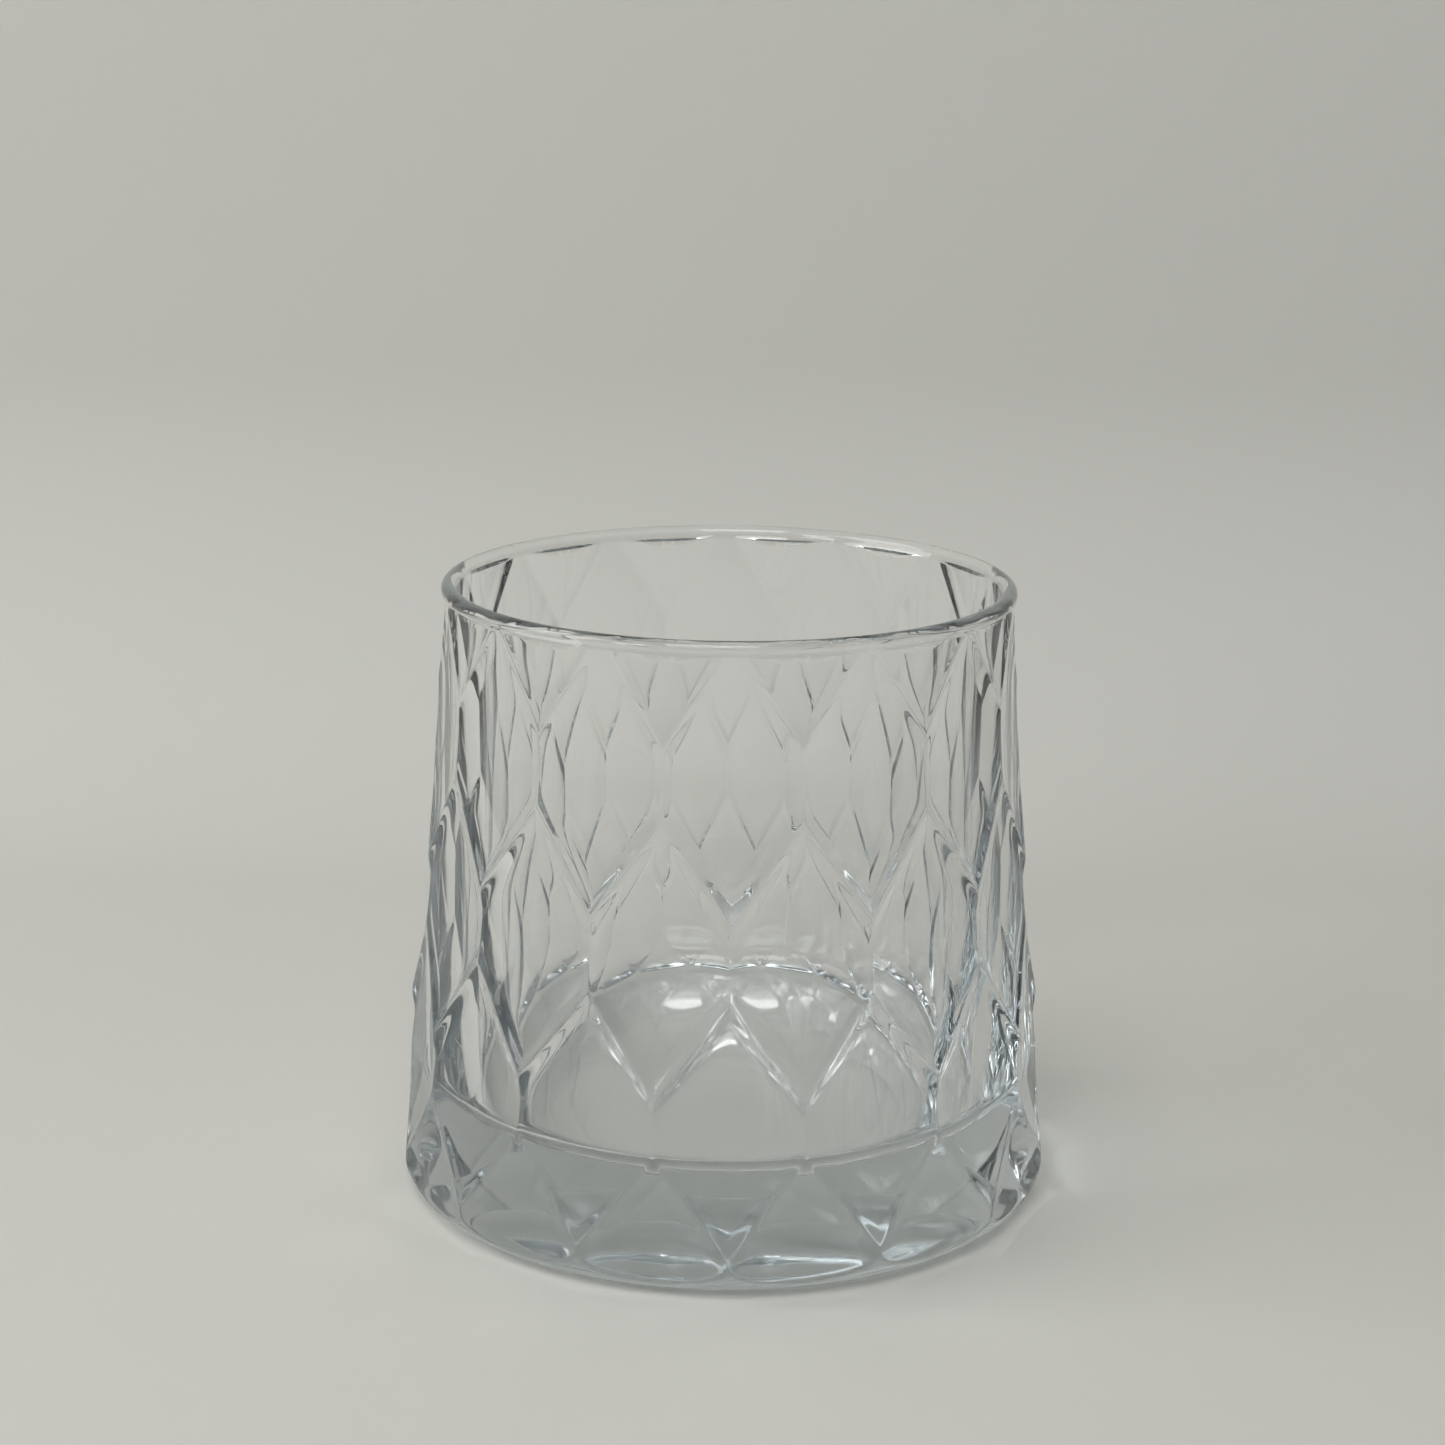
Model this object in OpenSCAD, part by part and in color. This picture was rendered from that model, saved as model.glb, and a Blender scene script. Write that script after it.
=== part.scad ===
// Faceted whiskey tumbler: one piece of pressed clear glass.
// The outside is covered with staggered rows of scooped, hexagonal facets.
// The inside is smooth, the floor is thick and the rim is a fire-polished bead.

/* [Overall] */
// Height from the table to the top of the rim
height = 86; // [60:1:130]
// Outer radius of the rim
rim_r = 39.2; // [32:0.1:52]
// Radius of the rounded bead that finishes the rim
bead_r = 1.12; // [0.8:0.01:1.6]

/* [Outer wall] */
// How far the facet centres sit inside the rim's outer radius at the mouth
facet_set = 1.2; // [1:0.1:2]
// Growth of the facet radius for each millimetre down the wall
taper = 0.032; // [0.02:0.001:0.05]
// Extra radius that the wall swells by towards the table
flare = 6.4; // [5:0.1:8]
// Radius that the swelling gives back at the table, so the wall steepens again
tuck = 2.1; // [1:0.1:3]
// Radius of the rounded heel between the wall and the base
heel_r = 5; // [3:0.1:7]

/* [Facets] */
// Facets around each row
columns = 14; // [10:1:18]
// Height from one row's centres to the next row's
row_pitch = 22.8; // [18:0.1:28]
// Height of the rim above the top row's centres
top_drop = 18.2; // [14:0.1:21]
// Radius of each scoop, seen from the side
scoop_r = 128; // [106:1:170]
// Extra depth of the scoops in the row that meets the table
base_press = 0.3; // [0:0.05:0.5]

/* [Inside] */
// Thickness of the glass under the drink
floor_t = 13.8; // [8:0.1:20]
// Radius of the corner between the inner wall and the floor
corner_r = 4; // [2:0.1:8]
// Shrinking of the inner radius for each millimetre down from the mouth
draft = 0.02; // [0.01:0.005:0.04]

/* [Underside] */
// Width of the flat ring that rests on the table
foot_w = 5; // [3:0.1:8]
// Depth of the shallow hollow inside the ring
punt_depth = 0.9; // [0.4:0.1:2]

/* [Hidden] */
$fn = 180;
scoop_fn = 720;

// Clearances that keep surfaces from meeting at a tangent
land = 0.05;
overlap = 1;
end_spare = 3;

// Heights and radii that follow from the sizes above
bead_z = height - bead_r;
mouth_r = rim_r - 2 * bead_r + land;
facet_angle = 360 / columns;
corner_z = floor_t + corner_r;
inner_r = mouth_r - draft * (bead_z - corner_z);

// Depth below the rim as a share of the height
function down(z) = (height - z) / height;

// Radius of a facet's centre at a height on the wall, without its scoop
function wall_r(z) = rim_r - facet_set + taper * (height - z)
    + flare * pow(down(z), 2) - tuck * pow(down(z), 3);

// Lean of the wall at a height, as the angle that turns a scoop with it
function wall_lean(z) = atan(taper
    + (2 * flare * down(z) - 3 * tuck * pow(down(z), 2)) / height);

// Rows run past the rim and past the table, so that part facets fill both ends
first_row = -1;
last_row = ceil((height - top_drop) / row_pitch);

// Radius of the lowest row's facets at the top of the heel
base_row_z = height - top_drop - last_row * row_pitch;
heel_rise = heel_r - base_row_z;
base_facet_r = wall_r(base_row_z) - base_press - heel_rise * tan(wall_lean(base_row_z))
    + heel_rise * heel_rise / (2 * scoop_r);

// The heel stands just outside the ridges between those facets
heel_out_r = base_facet_r / cos(facet_angle / 2) + land;
foot_r = heel_out_r - heel_r;
punt_r = foot_r - foot_w;
punt_ball_r = (punt_r * punt_r + punt_depth * punt_depth) / (2 * punt_depth);

// Each scoop is only as big as its own facet, with a little to spare at its sides and ends
scoop_w = 2 * heel_out_r * tan(facet_angle / 2) + overlap;
ridge_rise = heel_out_r / cos(facet_angle / 2) - heel_out_r;
scoop_h = row_pitch + 2 * scoop_r * ridge_rise / row_pitch + end_spare;

// How far a scoop reaches out past its own facet, so that its leaning end still clears the blank
function scoop_reach(z) = heel_out_r - wall_r(z) + base_press
    + scoop_h / 2 * sin(wall_lean(z)) + overlap;

// Side view of the solid glass before the facets are pressed into it
module blank_outline() {
    square([foot_r, bead_z]);
    translate([0, heel_r])
        square([heel_out_r, bead_z - heel_r]);
    translate([foot_r, heel_r])
        circle(r = heel_r);
}

// Side view of the space inside
module cavity_outline() {
    polygon([
        [0, corner_z],
        [inner_r, corner_z],
        [mouth_r, bead_z],
        [mouth_r, height + overlap],
        [0, height + overlap]
    ]);
    translate([0, floor_t])
        square([inner_r - corner_r, corner_r]);
    translate([inner_r - corner_r, corner_z])
        circle(r = corner_r);
}

// One scoop: flat across the facet and hollow along the wall
module scoop(z, press) {
    translate([wall_r(z) - press, 0, z])
        rotate([0, -wall_lean(z), 0])
            rotate([90, 0, 0])
                linear_extrude(height = scoop_w, center = true)
                    intersection() {
                        translate([scoop_r, 0])
                            circle(r = scoop_r, $fn = scoop_fn);
                        translate([-overlap, -scoop_h / 2])
                            square([overlap + scoop_reach(z), scoop_h]);
                    }
}

// All the scoops, with every second row turned by half a facet
module facets() {
    for (row = [first_row : last_row], column = [0 : columns - 1])
        rotate([0, 0, -90 + facet_angle * (column + (row % 2 == 0 ? 0 : 0.5))])
            scoop(height - top_drop - row * row_pitch, row == last_row ? base_press : 0);
}

module rim_bead() {
    rotate_extrude()
        translate([rim_r - bead_r, bead_z])
            circle(r = bead_r);
}

module cavity() {
    rotate_extrude()
        cavity_outline();
}

// Shallow hollow under the base, which leaves a flat ring to stand on
module punt() {
    translate([0, 0, punt_depth - punt_ball_r])
        sphere(r = punt_ball_r, $fn = scoop_fn);
}

module tumbler() {
    color([0.80, 0.87, 0.87, 0.45])
        difference() {
            union() {
                difference() {
                    rotate_extrude()
                        blank_outline();
                    facets();
                }
                rim_bead();
            }
            cavity();
            punt();
        }
}

tumbler();
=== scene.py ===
import math

import bpy
from mathutils import Matrix, Vector


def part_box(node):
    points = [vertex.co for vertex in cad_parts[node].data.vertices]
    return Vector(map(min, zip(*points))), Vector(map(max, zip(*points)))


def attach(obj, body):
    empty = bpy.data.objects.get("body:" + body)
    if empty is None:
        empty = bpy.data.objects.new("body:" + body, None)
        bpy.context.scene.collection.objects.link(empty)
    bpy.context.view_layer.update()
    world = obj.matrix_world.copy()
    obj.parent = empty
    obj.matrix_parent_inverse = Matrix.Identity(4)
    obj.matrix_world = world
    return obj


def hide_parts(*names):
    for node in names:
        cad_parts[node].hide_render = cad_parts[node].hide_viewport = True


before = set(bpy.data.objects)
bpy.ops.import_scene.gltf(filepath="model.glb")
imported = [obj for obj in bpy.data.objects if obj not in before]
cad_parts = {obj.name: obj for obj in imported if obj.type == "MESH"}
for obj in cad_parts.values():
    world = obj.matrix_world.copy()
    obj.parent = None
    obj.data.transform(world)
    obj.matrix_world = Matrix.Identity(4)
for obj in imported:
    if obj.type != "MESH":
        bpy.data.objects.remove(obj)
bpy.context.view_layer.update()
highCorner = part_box("tumbler")[1]
mm = 0.001

scene = bpy.context.scene
scene.view_settings.view_transform = "Standard"
scene.view_settings.look = "None"
scene.cycles.max_bounces = 40            # thick cut glass passes light on many times
scene.cycles.transmission_bounces = 40
scene.cycles.glossy_bounces = 12
scene.cycles.blur_glossy = 0.0           # lets light reach the paper through the base


# a long lens just above the rim, tipped down, with the hand's slight roll

cameraSettings = {
    "distance": 410 * mm,     # level distance from the glass's axis
    "height": 172 * mm,
    "turn": -1.14,            # degrees round the glass from the front facet
    "aim": -1.04,             # degrees of swing of the lens
    "tip": 14.54,             # degrees down
    "roll": 0.64,
    "lens": 76.5,
    "sensor": 36,
    "nearest": 0.01,
    "furthest": 20,
}


def addCamera(c):
    bpy.ops.object.camera_add()
    camera = bpy.context.object
    camera.name = "camera"
    camera.data.lens = c["lens"]
    camera.data.sensor_width = c["sensor"]
    camera.data.clip_start = c["nearest"]
    camera.data.clip_end = c["furthest"]
    turn = math.radians(c["turn"])
    place = Vector((c["distance"] * math.sin(turn), -c["distance"] * math.cos(turn), c["height"]))
    camera.matrix_world = (
        Matrix.Translation(place)
        @ Matrix.Rotation(math.radians(c["aim"]), 4, "Z")
        @ Matrix.Rotation(math.radians(90 - c["tip"]), 4, "X")
        @ Matrix.Rotation(math.radians(c["roll"]), 4, "Z")
    )
    scene.camera = camera


addCamera(cameraSettings)
print("camera placed")


# one skin, from the middle of the underside, up the faceted wall, over the rim
# and down the inside to the middle of the floor

glass = {
    "height": highCorner.z,
    "rimRadius": 39.2 * mm,
    "beadRadius": 1.12 * mm,
    "facetSet": 1.2 * mm,
    "taper": 0.032,
    "flare": 6.4 * mm,
    "tuck": 2.1 * mm,
    "heelRadius": 5 * mm,
    "columns": 14,
    "rowPitch": 22.8 * mm,
    "topDrop": 18.2 * mm,
    "scoopRadius": 128 * mm,
    "basePress": 0.3 * mm,
    "floorThickness": 13.8 * mm,
    "cornerRadius": 4 * mm,
    "draft": 0.02,
    "footWidth": 5 * mm,
    "puntDepth": 0.9 * mm,
    "ridgeSoftness": 0.04 * mm,   # how far the fire polish rounds the ridges
    # how proud each zigzag of ridges stands, by the row above it
    "ridgeRises": {-1: 0.12 * mm, 0: 0.54 * mm, 1: 0.60 * mm, 2: 0.16 * mm},
    "uprightRise": 0.05 * mm,     # the same for the upright ridges
    "swellStart": (0.12, 0.7),    # shares of the way down to the next row, where a zigzag
    "swellEnd": (0.8, 0.95),      # rises to its full height and falls back
    "ridgeReach": 0.27 * mm,      # steep side of a ridge, above it
    "ledgeReach": 0.34 * mm,      # gentle side, below it
    "beadBlend": 0.06 * mm,       # how softly the facets run into the bead
    "land": 0.05 * mm,            # keeps the heel just outside the lowest ridges
}

# spacing of the skin's lines: close beside a ridge, wide across a facet
skin = {
    "ridgeSteps": [0.15 * mm, 0.38 * mm, 0.8 * mm],
    "climb": 1.75,                # the same steps up and down, beside a slanting ridge
    "openSteps": 11,
    "uprightRings": 5,
    "heelRings": 12,
    "beadRings": 20,
    "innerRings": 10,
    "cornerRings": 10,
    "floorRings": 6,
    "footRings": 3,
    "puntRings": 24,
    "leastGap": 0.5 * mm,         # rings go between two zigzags only where they are further apart
    "merge": 0.002 * mm,
}

facetAngle = 2 * math.pi / glass["columns"]
rows = [-1, 0, 1, 2, 3]                 # the first is cut off by the rim, the last by the table
halvings = 48
rowReach = 1.6 * glass["rowPitch"]      # no facet reaches further from its row


def rowHeight(row):
    return glass["height"] - glass["topDrop"] - row * glass["rowPitch"]


def down(z):
    return (glass["height"] - z) / glass["height"]


def facetRadius(z):     # radius of a facet's middle, at its own height
    g = glass
    return (g["rimRadius"] - g["facetSet"] + g["taper"] * (g["height"] - z)
            + g["flare"] * down(z) ** 2 - g["tuck"] * down(z) ** 3)


def facetLean(z):
    g = glass
    swelling = 2 * g["flare"] * down(z) - 3 * g["tuck"] * down(z) ** 2
    return math.atan(g["taper"] + swelling / g["height"])


def scoopArc(row):      # centre of a scoop's arc, in radius and height
    z = rowHeight(row)
    lean = facetLean(z)
    press = glass["basePress"] if row == rows[-1] else 0
    reach = glass["scoopRadius"]
    return facetRadius(z) - press + reach * math.cos(lean), z + reach * math.sin(lean)


arcs = {row: scoopArc(row) for row in rows}


def scoopDepth(row, z):     # radius of a row's facets, along their middles
    arcRadius, arcHeight = arcs[row]
    return arcRadius - math.sqrt(glass["scoopRadius"] ** 2 - (z - arcHeight) ** 2)


def rowShift(row):
    return 0.0 if row % 2 == 0 else 0.5


def softLeast(values, softness):
    least = min(values)
    return least - softness * math.log(sum(math.exp((least - v) / softness) for v in values))


def softMost(values, softness):
    return -softLeast([-v for v in values], softness)


def smoothStep(low, high, value):
    share = min(1.0, max(0.0, (value - low) / (high - low)))
    return share * share * (3 - 2 * share)


def ridgeRise(z):       # a zigzag stands prouder towards the tips that point down
    g = glass
    row = math.floor((rowHeight(0) - z) / g["rowPitch"])
    fall = (rowHeight(row) - z) / g["rowPitch"]
    swell = smoothStep(*g["swellStart"], fall) * (1 - smoothStep(*g["swellEnd"], fall))
    return g["uprightRise"] + (g["ridgeRises"].get(row, g["uprightRise"]) - g["uprightRise"]) * swell


def wallRadius(turn, z):    # turn is counted in facets from the front one
    found = []
    for row in rows:
        if abs(z - rowHeight(row)) > rowReach:
            continue
        depth = scoopDepth(row, z)
        away = turn - rowShift(row)
        nearest = round(away)
        for column in (nearest - 1, nearest, nearest + 1):
            found.append((depth / math.cos((away - column) * facetAngle), row))
    found.sort()
    least, ownRow = found[0]
    ridge = 0.0
    for radius, row in found[1:]:
        reach = glass["ledgeReach"] if row < ownRow else glass["ridgeReach"]
        ridge = max(ridge, math.exp(-((radius - least) / reach) ** 2))
    return softLeast([radius for radius, row in found], glass["ridgeSoftness"]) + ridge * ridgeRise(z)


def crossing(lower, upper, lowZ, highZ):
    # height where two rows' surfaces meet; each is a function of height
    gap = lower(lowZ) - upper(lowZ)
    for halving in range(halvings):
        middle = (lowZ + highZ) / 2
        if (lower(middle) - upper(middle)) * gap > 0:
            lowZ = middle
        else:
            highZ = middle
    return (lowZ + highZ) / 2


def ridgeHeight(row, share):
    # height of the ridge between a row and the next one down,
    # at a share of a half facet from the upper row's middle
    above = math.cos(share * facetAngle / 2)
    below = math.cos((1 - share) * facetAngle / 2)
    spare = 2 * mm
    return crossing(lambda z: scoopDepth(row + 1, z) / below, lambda z: scoopDepth(row, z) / above,
                    rowHeight(row + 1) - spare, rowHeight(row) + spare)


def halfFacetShares():
    # places across a half facet, 0 at one ridge line and 1 at the next
    half = facetRadius(glass["height"] / 2) * math.tan(facetAngle / 2)
    edge = [step / half for step in skin["ridgeSteps"]]
    inner = 1 - 2 * edge[-1]
    middle = [edge[-1] + inner * (n + 1) / skin["openSteps"] for n in range(skin["openSteps"] - 1)]
    return [0.0] + edge + middle + [1 - e for e in reversed(edge)]


shares = halfFacetShares()
halfCount = len(shares)
segments = 2 * glass["columns"] * halfCount
turns = [(half + share) / 2 for half in range(2 * glass["columns"]) for share in shares]


def nearShare(row, segment):
    # how far a segment stands from the row's nearest facet middle, as a share of a half facet
    away = turns[segment] - rowShift(row)
    return min(1.0, 2 * abs(away - round(away)))


def stepsAlong(count, start, stop):
    return [start + (stop - start) * n / count for n in range(1, count + 1)]


heelTop = glass["heelRadius"]
beadHeight = glass["height"] - glass["beadRadius"]
beadCentre = glass["rimRadius"] - glass["beadRadius"]
mouthRadius = glass["rimRadius"] - 2 * glass["beadRadius"]
cornerTop = glass["floorThickness"] + glass["cornerRadius"]
innerRadius = mouthRadius - glass["draft"] * (beadHeight - cornerTop)
heelOut = scoopDepth(rows[-1], heelTop) / math.cos(facetAngle / 2) + glass["land"]
footRadius = heelOut - glass["heelRadius"]
puntRadius = footRadius - glass["footWidth"]
puntBall = (puntRadius ** 2 + glass["puntDepth"] ** 2) / (2 * glass["puntDepth"])


def heelRadiusAt(z):
    if z >= heelTop:
        return heelOut
    return footRadius + math.sqrt(max(0.0, heelTop ** 2 - (heelTop - z) ** 2))


def beadRadiusAt(z):
    return beadCentre + math.sqrt(max(0.0, glass["beadRadius"] ** 2 - (z - beadHeight) ** 2))


def outerPoint(segment, z):
    radius = softLeast([wallRadius(turns[segment], z), heelRadiusAt(z)], glass["ridgeSoftness"])
    if z > beadHeight - glass["beadRadius"]:
        radius = softMost([radius, beadRadiusAt(z)], glass["beadBlend"])
    return radius, z


def ringAt(z):
    return [outerPoint(segment, z) for segment in range(segments)]


def plainRing(radius, z):
    return [(radius, z)] * segments


def underRings():       # from the middle of the hollow out to the foot
    rings = []
    for n in range(skin["puntRings"] + 1):
        radius = puntRadius * n / skin["puntRings"]
        rise = puntBall - math.sqrt(puntBall ** 2 - radius ** 2)
        rings.append(plainRing(radius, glass["puntDepth"] - rise))
    for radius in stepsAlong(skin["footRings"], puntRadius, footRadius):
        rings.append(plainRing(radius, 0.0))
    return rings


def heelRings(top):
    rings = []
    for angle in stepsAlong(skin["heelRings"], 0, math.pi / 2):
        rings.append(ringAt(top * (1 - math.cos(angle))))
    return rings


def zigzagRings(row, ceiling):
    # between a row and the next one down, the skin's lines follow the slanting ridges
    margin = [step * skin["climb"] for step in skin["ridgeSteps"]]
    lowEnd = ridgeHeight(row, 0) - margin[-1]
    highEnd = ridgeHeight(row, 1) + margin[-1]
    tracks = []
    ridges = {}
    for segment in range(segments):
        place = segment % halfCount
        half = segment // halfCount
        rising = (half % 2 == 0) == (row % 2 == 0)
        below = place if rising else halfCount - place      # lines under the ridge
        share = nearShare(row, segment)
        key = round(share, 6)
        if key not in ridges:
            ridges[key] = ridgeHeight(row, share)
        ridge = ridges[key]
        track = [lowEnd]
        track += stepsAlong(below, lowEnd, ridge - margin[-1])
        track += [ridge - step for step in reversed(margin[:-1])]
        track += [ridge] + [ridge + step for step in margin]
        track += stepsAlong(halfCount - below, ridge + margin[-1], highEnd)
        tracks.append([min(z, ceiling) for z in track])
    return [[outerPoint(segment, z) for segment, z in enumerate(level)] for level in zip(*tracks)]


def beadRings():
    rings = []
    wrap = 1.5 * math.pi
    for angle in stepsAlong(skin["beadRings"], -math.pi / 2, wrap - math.pi / 2):
        z = beadHeight + glass["beadRadius"] * math.sin(angle)
        if angle < 0:       # the facets still run into the bead's lower half
            rings.append(ringAt(z))
        else:
            rings.append(plainRing(beadCentre + glass["beadRadius"] * math.cos(angle), z))
    return rings


def insideRings():
    rings = []
    for share in stepsAlong(skin["innerRings"], 0, 1):
        radius = mouthRadius + (innerRadius - mouthRadius) * share
        rings.append(plainRing(radius, beadHeight + (cornerTop - beadHeight) * share))
    bend = glass["cornerRadius"]
    floorRadius = innerRadius - bend
    for angle in stepsAlong(skin["cornerRings"], 0, math.pi / 2):
        rings.append(plainRing(floorRadius + bend * math.cos(angle), cornerTop - bend * math.sin(angle)))
    for share in stepsAlong(skin["floorRings"], 1, 0):
        rings.append(plainRing(floorRadius * share, glass["floorThickness"]))
    return rings


def skinRings():
    ceiling = beadHeight - glass["beadRadius"]
    rings = underRings() + heelRings(heelTop)
    zigzags = {}
    for row in reversed(rows[:-1]):
        zigzag = zigzagRings(row, ceiling)
        start = zigzag[0][0][1]
        level = rings[-1][0][1]
        if start > level + skin["leastGap"]:
            for z in stepsAlong(skin["uprightRings"], level, start)[:-1]:
                rings.append(ringAt(z))
        else:       # the ridge's foot is already down on the heel
            zigzag = [[outerPoint(segment, max(z, level)) for segment, (radius, z) in enumerate(ring)]
                      for ring in zigzag]
        zigzags[row] = (len(rings), len(rings) + len(zigzag) - 1)
        rings += zigzag
    return rings + beadRings() + insideRings(), zigzags


def selectFaces(mesh, chosen):
    bpy.ops.object.mode_set(mode="EDIT")
    bpy.ops.mesh.select_mode(type="FACE")
    bpy.ops.mesh.select_all(action="DESELECT")
    bpy.ops.object.mode_set(mode="OBJECT")
    for index in chosen:
        mesh.polygons[index].select = True
    bpy.ops.object.mode_set(mode="EDIT")


def makeTumbler():
    rings, zigzags = skinRings()
    bpy.ops.object.select_all(action="DESELECT")
    length = len(rings) - 1
    # a flat net, one square for each step round and along the skin, which is then rolled up
    bpy.ops.mesh.primitive_grid_add(x_subdivisions=segments, y_subdivisions=length, size=2)
    tumbler = bpy.context.object
    tumbler.name = "tumblerGlass"
    mesh = tumbler.data

    def lineOf(vertex):
        return round((vertex.co.y + 1) / 2 * length), round((vertex.co.x + 1) / 2 * segments)

    lines = [lineOf(vertex) for vertex in mesh.vertices]
    print("skin:", segments, "segments,", len(rings), "rings,", len(mesh.vertices), "points")

    def climbs(face):       # whether the ridges cross this square from low left to high right
        ring = min(lines[v][0] for v in face.vertices)
        half = min(lines[v][1] for v in face.vertices) // halfCount
        for row, (first, last) in zigzags.items():
            if first <= ring < last:
                return (half % 2 == 0) == (row % 2 == 0)
        return False

    climbing = [climbs(face) for face in mesh.polygons]
    corner = [lines[v] for v in mesh.polygons[0].vertices]
    firstSplitClimbs = (corner[2][0] - corner[0][0]) * (corner[2][1] - corner[0][1]) > 0
    selectFaces(mesh, [index for index, up in enumerate(climbing) if up == firstSplitClimbs])
    bpy.ops.mesh.quads_convert_to_tris(quad_method="FIXED", ngon_method="BEAUTY")
    bpy.ops.mesh.select_all(action="SELECT")
    bpy.ops.mesh.quads_convert_to_tris(quad_method="FIXED_ALTERNATE", ngon_method="BEAUTY")
    bpy.ops.object.mode_set(mode="OBJECT")

    for vertex, (ring, segment) in zip(mesh.vertices, lines):
        radius, z = rings[ring][segment % segments]
        turn = turns[segment % segments] * facetAngle
        vertex.co = (radius * math.sin(turn), -radius * math.cos(turn), z)
    bpy.ops.object.mode_set(mode="EDIT")
    bpy.ops.mesh.select_all(action="SELECT")
    bpy.ops.mesh.remove_doubles(threshold=skin["merge"])
    bpy.ops.mesh.normals_make_consistent(inside=False)
    bpy.ops.object.mode_set(mode="OBJECT")
    bpy.ops.object.shade_smooth()
    return tumbler


tumbler = makeTumbler()
print("tumbler made:", len(tumbler.data.polygons), "faces")


clearGlass = {
    "ior": 1.52,
    "roughness": 0.0,
    "stippleRoughness": 0.04,     # the hollow under the base is stippled
    "stippleTop": 1.2 * mm,
    "stippleFade": 0.2 * mm,
    "tint": (0.42, 0.50, 0.53, 1),
    "density": 11.0,              # absorption for each metre, through the tint
    "waveSize": 90.0,             # slow swells left by the mould
    "waveDetail": 1.5,
    "waveHeight": 0.012 * mm,
}


def makeClearGlass(g):
    material = bpy.data.materials.new("clearPressedGlass")
    material.use_nodes = True
    nodes, links = material.node_tree.nodes, material.node_tree.links
    shader = nodes["Principled BSDF"]
    shader.inputs["Base Color"].default_value = (1, 1, 1, 1)
    shader.inputs["IOR"].default_value = g["ior"]
    shader.inputs["Transmission Weight"].default_value = 1
    place = nodes.new("ShaderNodeTexCoord")
    split = nodes.new("ShaderNodeSeparateXYZ")
    under = nodes.new("ShaderNodeMapRange")
    under.inputs["From Min"].default_value = g["stippleTop"]
    under.inputs["From Max"].default_value = g["stippleTop"] - g["stippleFade"]
    under.inputs["To Min"].default_value = g["roughness"]
    under.inputs["To Max"].default_value = g["stippleRoughness"]
    links.new(place.outputs["Object"], split.inputs["Vector"])
    links.new(split.outputs["Z"], under.inputs["Value"])
    links.new(under.outputs["Result"], shader.inputs["Roughness"])
    wave = nodes.new("ShaderNodeTexNoise")
    wave.inputs["Scale"].default_value = g["waveSize"]
    wave.inputs["Detail"].default_value = g["waveDetail"]
    bump = nodes.new("ShaderNodeBump")
    bump.inputs["Strength"].default_value = 1
    bump.inputs["Distance"].default_value = g["waveHeight"]
    links.new(place.outputs["Object"], wave.inputs["Vector"])
    links.new(wave.outputs["Fac"], bump.inputs["Height"])
    links.new(bump.outputs["Normal"], shader.inputs["Normal"])
    body = nodes.new("ShaderNodeVolumeAbsorption")
    body.inputs["Color"].default_value = g["tint"]
    body.inputs["Density"].default_value = g["density"]
    links.new(body.outputs["Volume"], nodes["Material Output"].inputs["Volume"])
    return material


tumbler.data.materials.clear()
tumbler.data.materials.append(makeClearGlass(clearGlass))
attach(tumbler, "root")
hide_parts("tumbler")
print("glass finished")


# pale paper on the table, curving up into the wall behind the glass

paper = {
    "drop": 0.15 * mm,            # just below the foot
    "tableDrop": 0.3 * mm,
    "bendStart": 135 * mm,        # behind the glass's axis
    "bendRadius": 85 * mm,
    "wallHeight": 1500 * mm,
    "front": 1500 * mm,
    "width": 3000 * mm,
    "tableSize": 12000 * mm,
    "bendSteps": 24,
    "colour": (0.60, 0.60, 0.575, 1),
    "roughness": 0.75,
    "gloss": 0.3,
}


def makePaperMaterial(p):
    material = bpy.data.materials.new("palePaper")
    material.use_nodes = True
    nodes, links = material.node_tree.nodes, material.node_tree.links
    shader = nodes["Principled BSDF"]
    shader.inputs["Base Color"].default_value = p["colour"]
    shader.inputs["Roughness"].default_value = p["roughness"]
    shader.inputs["Specular IOR Level"].default_value = p["gloss"]
    clear = nodes.new("ShaderNodeBsdfTransparent")
    side = nodes.new("ShaderNodeNewGeometry")
    mix = nodes.new("ShaderNodeMixShader")
    links.new(side.outputs["Backfacing"], mix.inputs["Fac"])
    links.new(shader.outputs["BSDF"], mix.inputs[1])
    links.new(clear.outputs["BSDF"], mix.inputs[2])
    links.new(mix.outputs["Shader"], nodes["Material Output"].inputs["Surface"])
    return material


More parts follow.
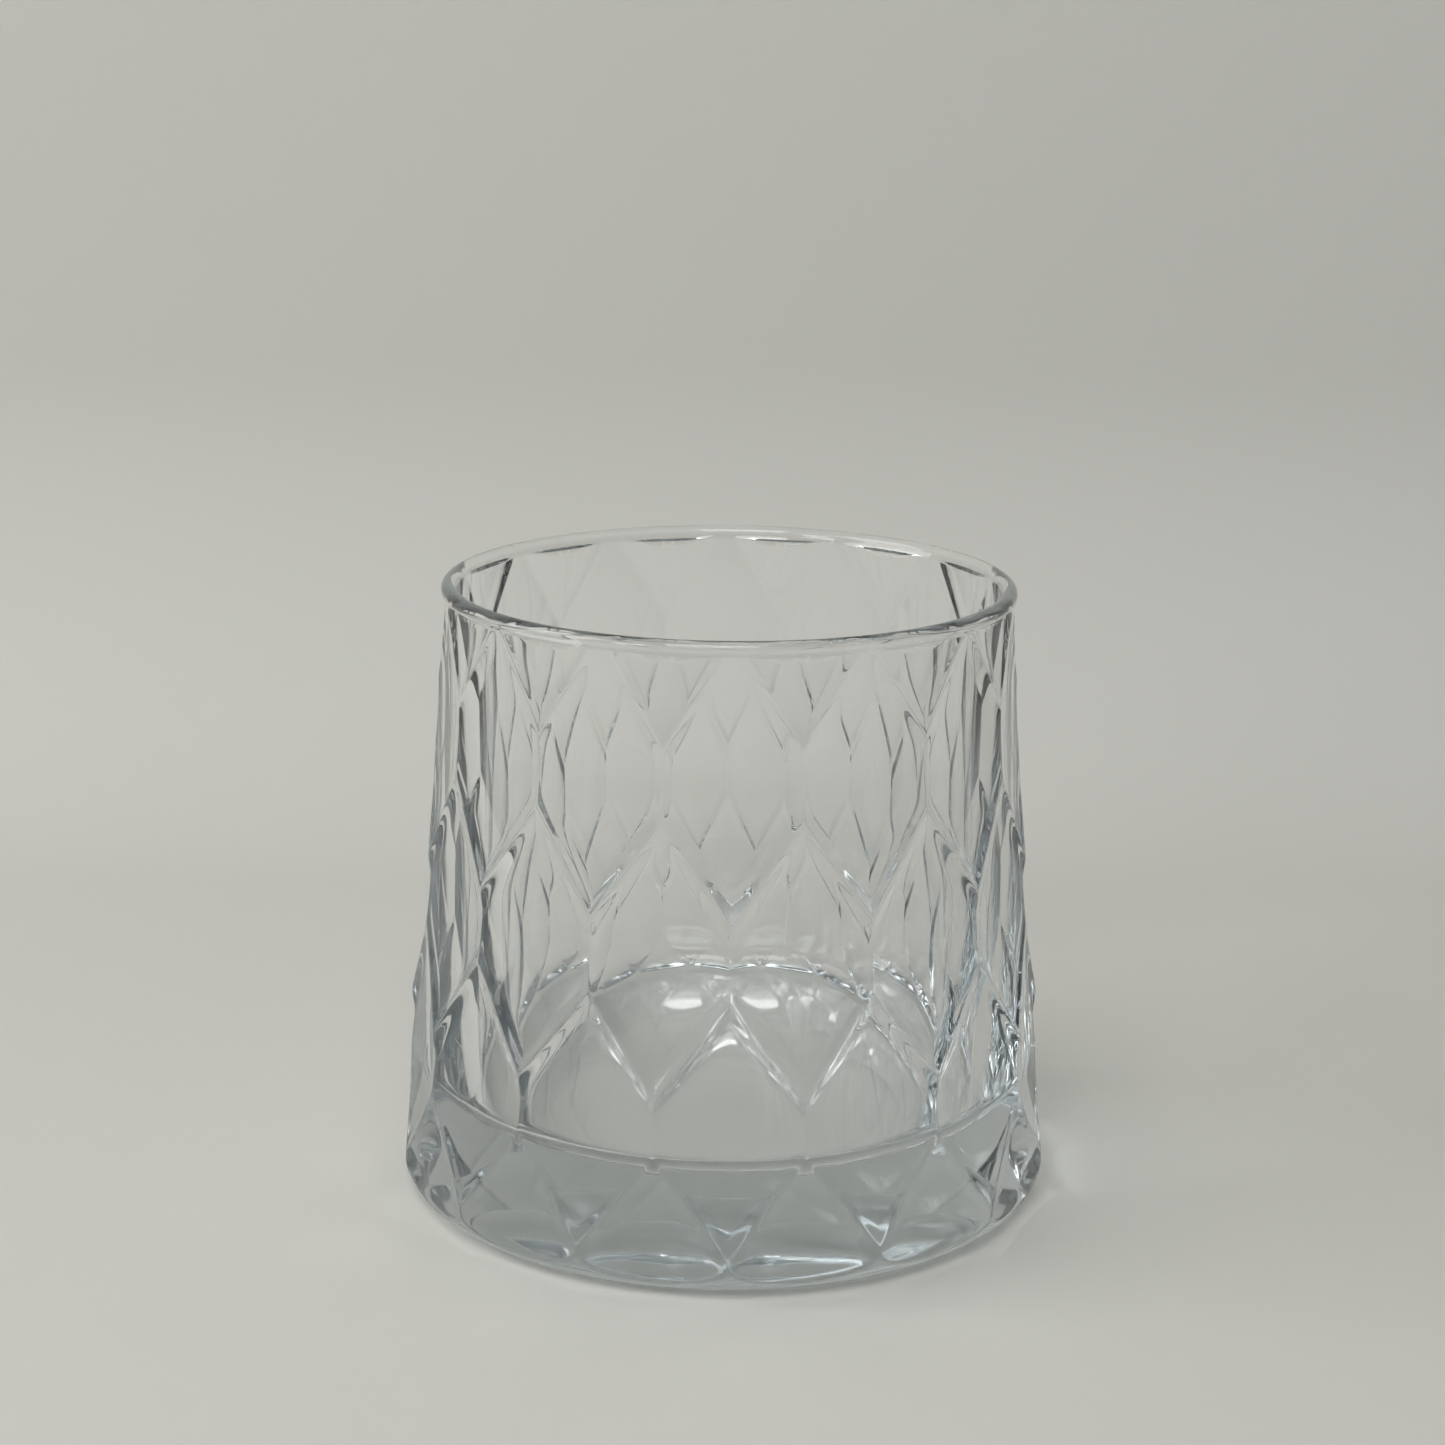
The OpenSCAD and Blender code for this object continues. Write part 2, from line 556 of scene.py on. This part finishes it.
def makePaper(p, material):
    bpy.ops.object.select_all(action="DESELECT")
    bpy.ops.mesh.primitive_plane_add(size=1, location=(0, 0, 0))
    sheet = bpy.context.object
    sheet.name = "paperSweep"
    for vertex in sheet.data.vertices:
        vertex.co.x *= p["width"]
        vertex.co.y = p["bendStart"] if vertex.co.y > 0 else -p["front"]
        vertex.co.z = -p["drop"]

    # the back edge is drawn on, round the bend and up the wall
    bpy.ops.object.mode_set(mode="EDIT")
    bpy.ops.mesh.select_mode(type="EDGE")
    bpy.ops.mesh.select_all(action="DESELECT")
    bpy.ops.object.mode_set(mode="OBJECT")
    for edge in sheet.data.edges:
        edge.select = all(sheet.data.vertices[v].co.y > 0 for v in edge.vertices)
    bpy.ops.object.mode_set(mode="EDIT")
    last = (0.0, 0.0)
    for step in range(1, p["bendSteps"] + 1):
        angle = math.pi / 2 * step / p["bendSteps"]
        spot = (p["bendRadius"] * math.sin(angle), p["bendRadius"] * (1 - math.cos(angle)))
        bpy.ops.mesh.extrude_region_move(
            TRANSFORM_OT_translate={"value": (0, spot[0] - last[0], spot[1] - last[1])})
        last = spot
    bpy.ops.mesh.extrude_region_move(TRANSFORM_OT_translate={"value": (0, 0, p["wallHeight"])})
    bpy.ops.mesh.select_all(action="SELECT")
    bpy.ops.mesh.normals_make_consistent(inside=False)
    bpy.ops.object.mode_set(mode="OBJECT")
    up = sum(face.normal.z * face.area for face in sheet.data.polygons)
    if up < 0:
        sheet.data.flip_normals()
    bpy.ops.object.shade_smooth()
    sheet.data.materials.append(material)
    return sheet


def makeTable(p, material):     # the same pale paper all round, below the sweep
    bpy.ops.object.select_all(action="DESELECT")
    bpy.ops.mesh.primitive_plane_add(size=p["tableSize"], location=(0, 0, -p["tableDrop"]))
    table = bpy.context.object
    table.name = "paleTable"
    table.data.materials.append(material)
    return table


palePaper = makePaperMaterial(paper)
makePaper(paper, palePaper)
makeTable(paper, palePaper)
print("paper laid")


# a wide window on the left, a softbox above the camera and a small bright one for the glints;
# places and sizes in millimetres
lights = {
    "window": {"place": (-1250, -200, 800), "size": (1000, 900), "power": 10.4, "colour": (1, 0.99, 0.97)},
    "overhead": {"place": (-100, -680, 950), "size": (600, 600), "power": 4.8, "colour": (1, 0.99, 0.965)},
    "sparkle": {"place": (-650, -750, 480), "size": (220, 320), "power": 1.0, "colour": (1, 1, 1)},
}
softRoom = {"colour": (1, 0.995, 0.97, 1), "strength": 0.26}
aimPoint = Vector((0, 0, 30)) * mm


def addSoftLight(name, spec):
    bpy.ops.object.light_add(type="AREA")
    lamp = bpy.context.object
    lamp.name = name
    lamp.data.shape = "RECTANGLE"
    lamp.data.size, lamp.data.size_y = (s * mm for s in spec["size"])
    lamp.data.energy = spec["power"]
    lamp.data.color = spec["colour"]
    place = Vector(spec["place"]) * mm
    turn = (aimPoint - place).to_track_quat("-Z", "Y")
    lamp.matrix_world = Matrix.Translation(place) @ turn.to_matrix().to_4x4()
    lamp.visible_camera = False


for name, spec in lights.items():
    addSoftLight(name, spec)

world = bpy.data.worlds.new("softRoom")
scene.world = world
world.use_nodes = True
room = world.node_tree.nodes["Background"]
room.inputs["Color"].default_value = softRoom["colour"]
room.inputs["Strength"].default_value = softRoom["strength"]
print("lights set")
